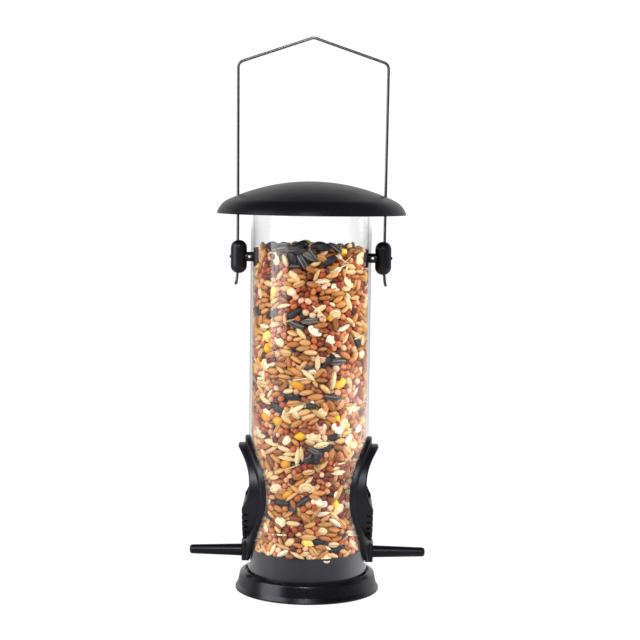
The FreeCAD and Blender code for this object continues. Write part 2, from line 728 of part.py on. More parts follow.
part(make_tube(), "tube")
part(make_base_ring(), "base_ring")
part(make_base_cup(), "base_cup")
part(make_base_screw(), "base_screw")
part(make_handle_wire(), "handle_wire")
part(make_lid(), "lid")
part(make_seed_fill(), "seed_fill")
for name, make in (
        ("port_shroud", make_port_shroud), ("port_baffle", make_port_baffle),
        ("perch", make_perch), ("perch_nut", make_perch_nut), ("handle_lug", make_handle_lug),
        ("lug_pin", make_lug_pin), ("lug_washer", make_lug_washer)):
    right = part(make(), name + "_right")
    part(mirrored(name + "_mirror", right), name + "_left")

doc.recompute()
for thing in doc.Objects:
    if "Invalid" in thing.State or "Error" in thing.State:
        raise RuntimeError(f"{thing.Name} failed: {thing.State}")
for thing in finished:
    if thing.Shape.isNull() or not thing.Shape.isValid() or not thing.Shape.Solids:
        raise RuntimeError(f"{thing.Label} has no valid solid")

os.makedirs("parts", exist_ok=True)
for thing in finished:
    thing.Shape.exportStep(f"parts/{thing.Label}.step")
    box = thing.Shape.optimalBoundingBox(False)
    print(f"{thing.Label:20s} solids {len(thing.Shape.Solids)}  volume {thing.Shape.Volume:9.1f}  "
          f"x {box.XMin:7.2f} {box.XMax:7.2f}  y {box.YMin:7.2f} {box.YMax:7.2f}  "
          f"z {box.ZMin:7.2f} {box.ZMax:7.2f}")
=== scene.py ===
# Clear tube seed feeder with two ports, hung from a wire bail, with a domed lid that slides up it.
# The moulded and metal parts come from the CAD frame; the seed is laid grain by grain here.
import math
import bpy
import numpy as np
from mathutils import Matrix, Vector


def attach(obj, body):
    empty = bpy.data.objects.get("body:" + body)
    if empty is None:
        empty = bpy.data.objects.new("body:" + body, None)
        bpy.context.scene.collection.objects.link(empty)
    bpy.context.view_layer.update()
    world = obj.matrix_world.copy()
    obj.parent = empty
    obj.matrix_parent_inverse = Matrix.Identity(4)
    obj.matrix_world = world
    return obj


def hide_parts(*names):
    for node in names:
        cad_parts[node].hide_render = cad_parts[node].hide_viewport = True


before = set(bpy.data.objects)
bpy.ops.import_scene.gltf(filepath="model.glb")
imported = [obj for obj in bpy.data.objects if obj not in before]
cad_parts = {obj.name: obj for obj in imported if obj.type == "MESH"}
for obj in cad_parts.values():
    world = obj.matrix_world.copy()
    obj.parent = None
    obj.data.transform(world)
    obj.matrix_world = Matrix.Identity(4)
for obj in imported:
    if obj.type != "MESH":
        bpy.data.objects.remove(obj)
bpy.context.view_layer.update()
print("feeder loaded,", len(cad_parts), "CAD pieces")


class Wire:  # a node socket that can stand in a sum
    def __init__(self, finish, socket):
        self.finish = finish
        self.socket = socket

    def sum(self, operation, first, second=0.0):
        return self.finish.add("ShaderNodeMath", {"operation": operation}, {0: first, 1: second})

    def __add__(self, other):
        return self.sum("ADD", self, other)

    def __radd__(self, other):
        return self.sum("ADD", other, self)

    def __sub__(self, other):
        return self.sum("SUBTRACT", self, other)

    def __rsub__(self, other):
        return self.sum("SUBTRACT", other, self)

    def __mul__(self, other):
        return self.sum("MULTIPLY", self, other)

    def __pow__(self, other):
        return self.sum("POWER", self, other)

    def __abs__(self):
        return self.sum("ABSOLUTE", self)

    def wave(self):
        return self.sum("SINE", self)


def srgb(red, green, blue):  # colours are written as they look, 0 to 255
    def linear(value):
        value = value / 255
        return value / 12.92 if value <= 0.04045 else ((value + 0.055) / 1.055) ** 2.4
    return (linear(red), linear(green), linear(blue), 1.0)


class Finish:  # the nodes of one material, or of the world
    def __init__(self, owner):
        owner.use_nodes = True
        self.owner = owner
        self.nodes = owner.node_tree.nodes
        self.links = owner.node_tree.links
        self.nodes.clear()

    def add(self, kind, settings=None, sockets=None, take=0):
        node = self.nodes.new(kind)
        for name, value in (settings or {}).items():
            if name == "stops":
                self.fillRamp(node.color_ramp, value)
            else:
                setattr(node, name, value)
        for name, value in (sockets or {}).items():
            if isinstance(value, Wire):
                self.links.new(value.socket, node.inputs[name])
            else:
                node.inputs[name].default_value = value
        if not len(node.outputs):
            return node
        return Wire(self, node.outputs[take])

    def fillRamp(self, ramp, stops):
        while len(ramp.elements) < len(stops):
            ramp.elements.new(1.0)
        for element, (position, colour) in zip(ramp.elements, stops):
            element.position = position
            element.color = colour

    def place(self):
        return self.add("ShaderNodeTexCoord", take="Object")

    def attribute(self, name, take):
        return self.add("ShaderNodeAttribute", {"attribute_name": name}, take=take)

    def stretched(self, spot, scale):
        return self.add("ShaderNodeMapping", None, {"Vector": spot, "Scale": scale})

    def axes(self, vector):
        split = self.add("ShaderNodeSeparateXYZ", None, {"Vector": vector}).socket.node
        return [Wire(self, output) for output in split.outputs]

    def noise(self, spot, scale, detail=3.0):
        sockets = {"Vector": spot, "Scale": scale, "Detail": detail}
        return self.add("ShaderNodeTexNoise", None, sockets)

    def ramp(self, factor, stops):
        return self.add("ShaderNodeValToRGB", {"stops": stops}, {"Fac": factor})

    def band(self, value, low, high, start=0.0, end=1.0):
        settings = {"interpolation_type": "SMOOTHSTEP"}
        sockets = {"Value": value, "From Min": low, "From Max": high, "To Min": start, "To Max": end}
        return self.add("ShaderNodeMapRange", settings, sockets)

    def blend(self, factor, first, second):  # the mix node's colour sockets go by number
        return self.add("ShaderNodeMix", {"data_type": "RGBA"}, {0: factor, 6: first, 7: second}, 2)

    def bump(self, height, distance):
        return self.add("ShaderNodeBump", None, {"Height": height, "Distance": distance})

    def surface(self, sockets):
        return self.add("ShaderNodeBsdfPrincipled", None, sockets)

    def show(self, shader, output="ShaderNodeOutputMaterial"):
        self.add(output, None, {"Surface": shader})
        return self.owner


def newFinish(name):
    return Finish(bpy.data.materials.new(name))


def dress(material, *nodes):  # the CAD piece keeps its mesh and takes a better finish
    for name in nodes:
        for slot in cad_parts[name].material_slots:
            slot.material = material


# black plastic shines a little blue
plasticTint = (0.88, 0.87, 1.0, 1.0)


def mouldedPlastic(name, look):
    finish = newFinish(name)
    spot = finish.place()
    mottle = finish.noise(spot, 38.0, 4.0)
    grain = finish.noise(spot, look["grain"], 3.0)
    dust = finish.band(finish.noise(spot, 900.0, 2.0), 0.66, 0.78)
    rub = finish.band(finish.noise(finish.stretched(spot, (1.0, 1.0, 0.35)), 120.0, 5.0), 0.52, 0.75)
    colour = finish.blend(mottle, look["deep"], look["pale"])
    colour = finish.blend(dust * look["dust"], colour, look["dustColour"])
    roughness = look["roughness"] + (mottle - 0.5) * 0.10 + rub * 0.05 + dust * 0.1
    relief = grain * 0.8 + mottle * 0.2
    shader = finish.surface({
        "Base Color": colour,
        "Roughness": roughness,
        "Specular IOR Level": look["shine"],
        "Specular Tint": plasticTint,
        "Coat Weight": look["coat"],
        "Coat Roughness": 0.12,
        "Normal": finish.bump(relief, look["relief"]),
    })
    return finish.show(shader)


plasticLooks = {
    "satinLid": {"deep": srgb(11, 11, 15), "pale": srgb(17, 17, 21), "grain": 1400.0, "relief": 0.00002,
                 "roughness": 0.37, "shine": 0.12, "coat": 0.0, "dust": 0.15,
                 "dustColour": srgb(34, 34, 38)},
    "glossBase": {"deep": srgb(5, 5, 7), "pale": srgb(9, 9, 12), "grain": 700.0, "relief": 0.00001,
                  "roughness": 0.27, "shine": 0.36, "coat": 0.05, "dust": 0.1,
                  "dustColour": srgb(40, 40, 42)},
    "greyCup": {"deep": srgb(27, 27, 31), "pale": srgb(38, 38, 42), "grain": 900.0, "relief": 0.00002,
                "roughness": 0.42, "shine": 0.3, "coat": 0.0, "dust": 0.15,
                "dustColour": srgb(70, 70, 70)},
    "portBlack": {"deep": srgb(12, 12, 15), "pale": srgb(20, 20, 24), "grain": 1300.0, "relief": 0.000025,
                  "roughness": 0.34, "shine": 0.3, "coat": 0.0, "dust": 0.2,
                  "dustColour": srgb(52, 51, 50)},
    "perchBlack": {"deep": srgb(7, 7, 9), "pale": srgb(13, 13, 16), "grain": 1300.0, "relief": 0.00002,
                   "roughness": 0.34, "shine": 0.26, "coat": 0.0, "dust": 0.15,
                   "dustColour": srgb(40, 40, 40)},
    "lugBlack": {"deep": srgb(9, 9, 12), "pale": srgb(16, 16, 20), "grain": 1300.0, "relief": 0.00002,
                 "roughness": 0.34, "shine": 0.3, "coat": 0.0, "dust": 0.15,
                 "dustColour": srgb(40, 40, 40)},
}
plastics = {name: mouldedPlastic(name, look) for name, look in plasticLooks.items()}
dress(plastics["satinLid"], "lid")
dress(plastics["glossBase"], "base_ring")
dress(plastics["greyCup"], "base_cup")
for side in ("left", "right"):
    dress(plastics["portBlack"], "port_shroud_" + side, "port_baffle_" + side)
    dress(plastics["perchBlack"], "perch_" + side, "perch_nut_" + side)
    dress(plastics["lugBlack"], "handle_lug_" + side, "lug_pin_" + side, "lug_washer_" + side)
print("plastics dressed")


# lines is how finely the drawing marks repeat across and along the steel
steelLooks = {
    "handleSteel": {"colour": srgb(104, 100, 97), "roughness": 0.3, "lines": (420.0, 420.0, 24.0),
                    "stained": 0.78, "relief": 0.000002},
    "screwSteel": {"colour": srgb(176, 174, 170), "roughness": 0.3, "lines": (500.0, 500.0, 500.0),
                   "stained": 0.78, "relief": 0.000002},
}


def drawnSteel(name, look):
    finish = newFinish(name)
    spot = finish.place()
    draw = finish.noise(finish.stretched(spot, look["lines"]), 1.0, 4.0)
    stain = finish.noise(spot, 60.0, 3.0)
    dark = tuple(part * look["stained"] for part in look["colour"][:3]) + (1.0,)
    shader = finish.surface({
        "Base Color": finish.blend(stain, look["colour"], dark),
        "Metallic": 1.0,
        "Roughness": look["roughness"] + (draw - 0.5) * 0.08 + (stain - 0.5) * 0.08,
        "Normal": finish.bump(draw, look["relief"]),
    })
    return finish.show(shader)


dress(drawnSteel("handleSteel", steelLooks["handleSteel"]), "handle_wire")
dress(drawnSteel("screwSteel", steelLooks["screwSteel"]), "base_screw")


# the tube is shown clear by letting light straight through, with more shine towards its edges
clearTube = {"colour": srgb(252, 252, 253), "haze": 0.012, "roughness": 0.11, "gloss": 0.02,
             "rim": 0.9, "sharpness": 2.2, "ripple": 0.0004}


def clearPlastic(name, look):
    finish = newFinish(name)
    spot = finish.place()
    smear = finish.band(finish.noise(finish.stretched(spot, (1.0, 1.0, 0.25)), 55.0, 4.0), 0.45, 0.8)
    ripple = finish.noise(finish.stretched(spot, (1.0, 1.0, 0.12)), 26.0, 1.0)
    facing = finish.add("ShaderNodeLayerWeight", None, {"Blend": 0.5}, "Facing")
    shine = finish.surface({
        "Base Color": look["colour"],
        "Roughness": look["roughness"] + smear * 0.05,
        "Specular IOR Level": 1.0,
        "Metallic": 1.0,
        "Normal": finish.bump(ripple, look["ripple"]),
    })
    clear = finish.add("ShaderNodeBsdfTransparent", None, {"Color": (1.0, 1.0, 1.0, 1.0)})
    outside = 1.0 - finish.add("ShaderNodeNewGeometry", take="Backfacing")
    shown = facing ** look["sharpness"] * look["rim"] + look["gloss"] + smear * look["haze"]
    return finish.show(finish.add("ShaderNodeMixShader", None, {0: shown * outside, 1: clear, 2: shine}))


dress(clearPlastic("clearTube", clearTube), "tube")
print("tube and metal dressed")


# the seed: every grain is a small shape, settled against the wall and laid in place
# lengths in this part are millimetres, and x runs from port to port
seedRoom = {
    "wall": 33.4, "floor": 23.4, "shoulder": 200.5, "crown": 206.0, "depth": 9.5, "heartDrop": 8.0,
    "portMiddle": 62.5, "portPlate": 20.4, "plateStart": 20.0, "plateWall": 31.7,
    "washerMiddle": 194.6, "washerReach": 5.6, "washerHalf": 9.4, "washerWall": 29.9,
    "nutMiddle": 21.6, "nutReach": 4.0, "nutWall": 29.2, "free": 99.0,
    "hoodReach": 18.0, "hoodHalf": 16.4, "hoodFloor": 56.0, "floorSlope": 0.426,
    "hoodRoof": 60.0, "roofSlope": 1.52, "roofGap": 1.7,
    "mouthMiddle": 66.0, "mouthHalf": 24.0, "mouthReach": 15.0,
}

# angles are degrees, apart from the tilts given in radians
pouring = {
    "count": 5000, "start": 7, "topShare": 0.055, "topDepth": 7,
    "portShare": 0.05, "portReach": (16, 31), "portHalf": 15, "portLevel": (43, 56),
    "driftEdge": 1.0, "driftNoise": 0.4, "clumpDepth": (2.5, 6.0), "clumpSpread": 2.0,
    "tilt": 24, "looseShare": 0.12, "looseRadians": 1.5, "tangleRadians": 0.6, "tangleRise": (0.3, 4.2),
}

# direction round the tube, level, spread of the direction and how many sunflower seeds
# the first is the tangle across the top
sunflowerClumps = (
    (-92, 205.0, 17, 20), (-98, 164, 9, 5), (-104, 118, 12, 6), (-84, 88, 9, 5),
    (-112, 60, 12, 5), (-70, 142, 9, 4), (60, 150, 16, 6), (140, 90, 16, 6),
)

settling = {
    "steps": 110, "renew": 5, "search": 5.2, "squeeze": 0.35, "farthest": 0.8, "outward": 0.05, "sink": 0.03,
}

# share of the mix; length, width and thickness; how evenly the sizes and shapes vary
grainKinds = {
    "wheat": {"share": 0.33, "size": (7.4, 3.7, 3.3), "spread": 0.12, "lumps": 0.05, "turn": "any"},
    "barley": {"share": 0.13, "size": (9.0, 3.4, 2.8), "spread": 0.14, "lumps": 0.05, "turn": "any"},
    "milo": {"share": 0.39, "size": (3.9, 3.7, 3.4), "spread": 0.14, "lumps": 0.06, "turn": "any"},
    "maize": {"share": 0.024, "size": (8.2, 5.8, 4.0), "spread": 0.22, "lumps": 0.20, "turn": "flat"},
    "sunflower": {"share": 0.027, "size": (10.5, 5.0, 3.4), "spread": 0.12, "lumps": 0.04, "turn": "flat"},
    "flake": {"share": 0.064, "size": (7.8, 5.6, 2.2), "spread": 0.20, "lumps": 0.09, "turn": "flat"},
    "straw": {"share": 0.030, "size": (9.5, 0.9, 0.8), "spread": 0.30, "lumps": 0.05, "turn": "flat"},
}


def select(piece, test):  # leaves edit mode with only the wanted points selected
    bpy.ops.object.mode_set(mode="OBJECT")
    for face in piece.data.polygons:
        face.select = False
    for edge in piece.data.edges:
        edge.select = False
    for point in piece.data.vertices:
        point.select = bool(test(point.co))
    bpy.ops.object.mode_set(mode="EDIT")


def newGrain(name, segments=8, rings=6):
    bpy.ops.object.select_all(action="DESELECT")
    bpy.ops.mesh.primitive_uv_sphere_add(segments=segments, ring_count=rings, radius=1.0)
    piece = bpy.context.object
    piece.name = name
    piece.data.transform(Matrix.Rotation(math.pi / 2, 4, "Y"))
    bpy.ops.object.mode_set(mode="EDIT")
    bpy.ops.mesh.select_mode(type="VERT")
    return piece


def finishGrain(piece):
    bpy.ops.object.mode_set(mode="OBJECT")
    bpy.ops.object.shade_smooth()
    points = np.array([point.co[:] for point in piece.data.vertices])
    faces = [tuple(face.vertices) for face in piece.data.polygons]
    bpy.data.objects.remove(piece)
    return points, faces


def wheatShape():
    piece = newGrain("wheatShape")
    select(piece, lambda p: p.x > 0.6)
    bpy.ops.transform.resize(value=(1.0, 0.74, 0.8))
    select(piece, lambda p: p.x < -0.6)
    bpy.ops.transform.resize(value=(1.0, 0.95, 1.05))
    select(piece, lambda p: p.z < -0.4 and abs(p.y) < 0.1 and abs(p.x) < 0.95)
    bpy.ops.transform.translate(value=(0.0, 0.0, 0.34))
    return finishGrain(piece)


def barleyShape():
    piece = newGrain("barleyShape")
    select(piece, lambda p: abs(p.x) > 0.6)
    bpy.ops.transform.resize(value=(1.02, 0.7, 0.75))
    select(piece, lambda p: p.x > 0.95)
    bpy.ops.transform.translate(value=(0.16, 0.0, 0.0))
    select(piece, lambda p: p.z < -0.4 and abs(p.y) < 0.1 and abs(p.x) < 0.95)
    bpy.ops.transform.translate(value=(0.0, 0.0, 0.24))
    return finishGrain(piece)


def miloShape():
    piece = newGrain("miloShape")
    select(piece, lambda p: p.x > 0.95)
    bpy.ops.transform.translate(value=(-0.16, 0.0, 0.0))
    return finishGrain(piece)


def maizeShape():
    piece = newGrain("maizeShape")
    select(piece, lambda p: p.x > 0.3)
    bpy.ops.transform.resize(value=(1.0, 1.12, 0.8))
    select(piece, lambda p: p.x > 0.8)
    bpy.ops.transform.translate(value=(-0.22, 0.0, 0.1))
    select(piece, lambda p: p.x < -0.6)
    bpy.ops.transform.resize(value=(1.0, 0.6, 0.7))
    return finishGrain(piece)


def sunflowerShape():
    piece = newGrain("sunflowerShape")
    select(piece, lambda p: p.x > 0.3)
    bpy.ops.transform.resize(value=(1.0, 0.78, 0.8))
    select(piece, lambda p: p.x > 0.8)
    bpy.ops.transform.resize(value=(1.0, 0.6, 0.7))
    select(piece, lambda p: abs(p.y) > 0.9)
    bpy.ops.transform.resize(value=(1.0, 1.05, 0.6))
    return finishGrain(piece)


def flakeShape():
    piece = newGrain("flakeShape")
    select(piece, lambda p: abs(p.x) < 0.6 and abs(p.y) < 0.5)
    bpy.ops.transform.resize(value=(1.0, 1.0, 0.45))
    return finishGrain(piece)


def strawShape():
    piece = newGrain("strawShape", 6, 6)
    select(piece, lambda p: abs(p.x) > 0.8)
    bpy.ops.transform.resize(value=(1.0, 1.3, 1.2))
    return finishGrain(piece)


grainShapes = {
    "wheat": wheatShape(), "barley": barleyShape(), "milo": miloShape(), "maize": maizeShape(),
    "sunflower": sunflowerShape(), "flake": flakeShape(), "straw": strawShape(),
}


def neighbours(centres, reach):  # pairs of balls closer than reach, found through a grid of cells
    cells = np.floor(centres / reach).astype(np.int64)
    cells -= cells.min(0) - 1
    span = cells.max(0) + 2
    key = (cells[:, 0] * span[1] + cells[:, 1]) * span[2] + cells[:, 2]
    order = np.argsort(key, kind="stable")
    ranked = key[order]
    everyone = np.arange(len(key))
    firsts = []
    seconds = []
    for stepX in (-1, 0, 1):
        for stepY in (-1, 0, 1):
            for stepZ in (-1, 0, 1):
                shift = (stepX * span[1] + stepY) * span[2] + stepZ
                if shift < 0:
                    continue
                low = np.searchsorted(ranked, key + shift, "left")
                many = np.searchsorted(ranked, key + shift, "right") - low
                first = np.repeat(everyone, many)
                start = np.repeat(low - np.cumsum(many) + many, many)
                second = order[start + np.arange(len(first))]
                if shift == 0:
                    keep = first < second
                    first = first[keep]
                    second = second[keep]
                firsts.append(first)
                seconds.append(second)
    first = np.concatenate(firsts)
    second = np.concatenate(seconds)
    near = ((centres[first] - centres[second]) ** 2).sum(1) < reach * reach
    return first[near], second[near]


def keepInside(balls, radius, room):  # the tube's wall, the mound, the cup, the ports and the washers
    x, y, z = balls.T
    out = np.maximum(np.hypot(x, y), 1e-6)
    wall = np.full(len(x), room["wall"])
    plate = np.abs(x) > room["plateStart"]
    plate &= y * y + (z - room["portMiddle"]) ** 2 < room["portPlate"] ** 2
    wall[plate] = room["plateWall"]
    scale = np.minimum(1.0, (wall - radius) / out)
    x = x * scale
    y = y * scale
    washer = np.abs(z - room["washerMiddle"]) < room["washerReach"] + radius
    washer &= np.abs(y) < room["washerHalf"]
    nut = np.abs(z - room["nutMiddle"]) < room["nutReach"] + radius
    nut &= np.abs(y) < room["nutReach"] + radius
    for hit, limit in ((washer, room["washerWall"]), (nut, room["nutWall"])):
        limit = np.where(hit, limit - radius, room["free"])
        x = np.clip(x, -limit, limit)
    # the sloping room under each hood
    side = np.sign(x)
    reach = np.abs(x)
    under = room["hoodFloor"] - (reach - room["hoodReach"]) * room["floorSlope"] - radius
    over = room["hoodRoof"] + (reach - room["hoodReach"]) * room["roofSlope"] + radius * room["roofGap"]
    inHood = (reach > room["hoodReach"] - radius) & (np.abs(y) < room["hoodHalf"])
    inHood &= (z > under) & (z < over)
    inward = reach - room["hoodReach"] + radius
    down = z - under
    up = over - z
    least = np.minimum(np.minimum(inward, down), up)
    x = np.where(inHood & (least == inward), side * (room["hoodReach"] - radius), x)
    z = np.where(inHood & (least == down) & (least != inward), under, z)
    z = np.where(inHood & (least == up) & (least != inward), over, z)
    # floor and mound
    out = np.hypot(x, y)
    crown = room["crown"] - (room["crown"] - room["shoulder"]) * (out / room["wall"]) ** 2
    z = np.clip(z, room["floor"] + radius, crown - radius)
    # the heart of the heap is one dark solid, so the grains stay outside it
    heart = room["wall"] - room["depth"]
    out = np.maximum(np.hypot(x, y), 1e-6)
    top = room["shoulder"] - room["heartDrop"]
    inHeart = (out < heart) & (z < top)
    rise = inHeart & (top - z < heart - out)
    z = np.where(rise, top, z)
    inMouth = (np.abs(z - room["mouthMiddle"]) < room["mouthHalf"]) & (np.abs(x) > room["mouthReach"])
    push = inHeart & ~rise & ~inMouth
    grow = np.where(push, heart / out, 1.0)
    return np.stack((x * grow, y * grow, z), 1)


# which kind each grain is, where it starts and how it lies
def scatterSeed(room, pour, kinds, clumps, chance):
    names = list(kinds)
    shares = np.array([kinds[name]["share"] for name in names])
    count = pour["count"]
    kind = chance.choice(len(names), count, p=shares / shares.sum())
    spread = np.array([kinds[name]["spread"] for name in names])[kind]
    scatter = 1 + spread[:, None] * chance.uniform(-1, 1, (count, 3))
    scatter = scatter * (1 + 0.08 * chance.standard_normal((count, 1))).clip(0.8, 1.25)
    # places: a shell behind the wall, and the mound's top
    inner = room["wall"] - room["depth"]
    angle = chance.uniform(-math.pi, math.pi, count)
    out = np.sqrt(chance.uniform(inner ** 2, (room["wall"] - 1.5) ** 2, count))
    height = chance.uniform(room["floor"] + 2, room["shoulder"], count)
    onTop = chance.random(count) < pour["topShare"]
    out = np.where(onTop, np.sqrt(chance.uniform(0, inner ** 2, count)), out)
    topLevel = chance.uniform(room["shoulder"] - pour["topDepth"], room["crown"], count)
    height = np.where(onTop, topLevel, height)
    # some lie under the ports' hoods, where they reach the tray
    inPort = ~onTop & (chance.random(count) < pour["portShare"])
    across = chance.uniform(*pour["portReach"], count) * np.where(chance.random(count) < 0.5, 1, -1)
    deep = chance.uniform(-pour["portHalf"], pour["portHalf"], count)
    out = np.where(inPort, np.hypot(across, deep), out)
    angle = np.where(inPort, np.arctan2(deep, across), angle)
    height = np.where(inPort, chance.uniform(*pour["portLevel"], count), height)
    # the small red grains gather in drifts
    drift = np.sin(angle * 3 + height / 13) + np.sin(height / 7 - angle * 5)
    drift = drift + chance.normal(0, pour["driftNoise"], count)
    wheat = names.index("wheat")
    milo = names.index("milo")
    changed = (kind == wheat) & (drift > pour["driftEdge"])
    kind = np.where(changed, milo, np.where((kind == milo) & (drift < -pour["driftEdge"]), wheat, kind))
    size = np.array([kinds[name]["size"] for name in names])[kind] * scatter
    # a tangle of sunflower seeds lies across the top, and a few more sit in clumps lower down
    black = np.flatnonzero(kind == names.index("sunflower"))
    used = 0
    for direction, level, width, many in clumps:
        for index in black[used:used + many]:
            angle[index] = math.radians(direction) + chance.normal(0, math.radians(width))
            out[index] = room["wall"] - chance.uniform(*pour["clumpDepth"])
            height[index] = level + chance.normal(0, pour["clumpSpread"])
        used += many
    tangle = black[:clumps[0][3]]
    centre = np.stack((out * np.cos(angle), out * np.sin(angle), height), 1)
    # grains lie mostly level along the wall
    tilt = chance.normal(0, math.radians(pour["tilt"]), count)
    loose = chance.random(count) < pour["looseShare"]
    tilt = np.where(loose, chance.uniform(-pour["looseRadians"], pour["looseRadians"], count), tilt)
    tilt[tangle] = chance.uniform(-pour["tangleRadians"], pour["tangleRadians"], len(tangle))
    flip = np.where(chance.random(count) < 0.5, 1.0, -1.0)
    along = np.stack((-np.sin(angle) * np.cos(tilt), np.cos(angle) * np.cos(tilt), np.sin(tilt)), 1)
    along = along * flip[:, None] + chance.normal(0, 0.12, (count, 3))
    along /= np.linalg.norm(along, axis=1)[:, None]
    return kind, size, centre, along, tangle


def settleSeed(room, rules, size, centre, along):  # three balls stand for a grain and push others away
    count = len(size)
    ball = np.minimum(size[:, 1], size[:, 2] * 1.15) * 0.5
    arm = np.maximum(size[:, 0] / 2 - ball * 0.95, 0.0)
    owner = np.repeat(np.arange(count), 3)
    radius = np.repeat(ball, 3) * np.tile((0.86, 1.0, 0.86), count)
    offset = arm[:, None] * np.array((-1.0, 0.0, 1.0))
    for step in range(rules["steps"]):
        balls = (centre[:, None, :] + offset[:, :, None] * along[:, None, :]).reshape(-1, 3)
        if step % rules["renew"] == 0:
            first, second = neighbours(balls, rules["search"])
            keep = owner[first] != owner[second]
            first = first[keep]
            second = second[keep]
        gap = balls[first] - balls[second]
        distance = np.maximum(np.linalg.norm(gap, axis=1), 1e-6)
        overlap = radius[first] + radius[second] - distance
        touching = overlap > 0
        push = gap[touching] * (overlap[touching] / distance[touching] * rules["squeeze"])[:, None]
        move = np.zeros_like(balls)
        for axis in range(3):
            move[:, axis] = np.bincount(first[touching], push[:, axis], len(balls))
            move[:, axis] -= np.bincount(second[touching], push[:, axis], len(balls))
        balls += np.clip(move, -rules["farthest"], rules["farthest"])
        outward = balls[:, :2] / np.maximum(np.hypot(balls[:, 0], balls[:, 1]), 1.0)[:, None]
        balls[:, :2] += outward * rules["outward"]
        balls[:, 2] -= rules["sink"]
        balls = keepInside(balls, radius, room).reshape(count, 3, 3)
        centre = balls.mean(1)
        reach = balls[:, 2] - balls[:, 0]
        length = np.linalg.norm(reach, axis=1)
        turned = length > 0.2
        along[turned] = along[turned] * 0.3 + reach[turned] / length[turned, None] * 0.7
        along /= np.linalg.norm(along, axis=1)[:, None]
    print("  grains:", count, " mean overlap left, mm:", round(float(overlap[touching].mean()), 3))
    return centre, along


def pourSeed(room, pour, kinds, clumps, rules):
    chance = np.random.default_rng(pour["start"])
    kind, size, centre, along, tangle = scatterSeed(room, pour, kinds, clumps, chance)
    centre, along = settleSeed(room, rules, size, centre, along)
    # the tangle stands a little proud of the heap
    centre[tangle, 2] += chance.uniform(*pour["tangleRise"], len(tangle))
    count = pour["count"]
    return {"names": list(kinds), "kind": kind, "size": size, "centre": centre, "along": along,
            "tone": chance.random(count), "spin": chance.uniform(-math.pi, math.pi, count),
            "phase": chance.uniform(0, 6.28, (count, 3))}


def layGrains(name, heap, kinds, shapes, material, wall):
    picked = np.flatnonzero(heap["kind"] == heap["names"].index(name))
    points, faces = shapes[name]
    along = heap["along"][picked]
    centre = heap["centre"][picked]
    outward = centre * (1.0, 1.0, 0.0)
    outward /= np.maximum(np.linalg.norm(outward, axis=1), 1e-6)[:, None]
    level = np.cross(outward, along)
    level /= np.maximum(np.linalg.norm(level, axis=1), 1e-6)[:, None]
    face = np.cross(along, level)
    spin = heap["spin"][picked] * (0.12 if kinds[name]["turn"] == "flat" else 1.0)
    cos = np.cos(spin)[:, None]
    sin = np.sin(spin)[:, None]
    side = level * cos + face * sin
    up = face * cos - level * sin
    # small lumps make each grain its own
    wave = np.sin(points[None] @ np.array(((2.1, 0.4, 1.3), (0.7, 2.6, -0.9), (1.2, -1.4, 2.2)))
                  + heap["phase"][picked][:, None, :])
    local = points[None] * (1 + kinds[name]["lumps"] * wave)
    half = heap["size"][picked] / 2
    world = centre[:, None, :]
    for axis, direction in ((0, along), (1, side), (2, up)):
        world = world + (local[:, :, axis] * half[:, None, axis])[:, :, None] * direction[:, None, :]
    # nothing reaches into the clear wall
    out = np.hypot(world[:, :, 0], world[:, :, 1])
    world[:, :, :2] *= np.minimum(1.0, wall / np.maximum(out, 1.0))[:, :, None]
    many = len(picked)
    step = len(points)
    allFaces = [tuple(corner + step * index for corner in one) for index in range(many) for one in faces]
    mesh = bpy.data.meshes.new(name + "Grains")
    mesh.from_pydata((world.reshape(-1, 3) / 1000).tolist(), [], allFaces)
    mesh.polygons.foreach_set("use_smooth", np.ones(len(mesh.polygons), bool))
    tone = mesh.attributes.new("tone", "FLOAT", "POINT")
    tone.data.foreach_set("value", np.repeat(heap["tone"][picked], step).astype(np.float32))
    spot = mesh.attributes.new("grainSpot", "FLOAT_VECTOR", "POINT")
    spot.data.foreach_set("vector", np.tile(points, (many, 1)).astype(np.float32).ravel())
    mesh.materials.append(material)
    mesh.update()
    piece = bpy.data.objects.new(name + "Grains", mesh)
    bpy.context.scene.collection.objects.link(piece)
    print("  ", name, many, "grains,", len(mesh.polygons), "faces")
    return piece


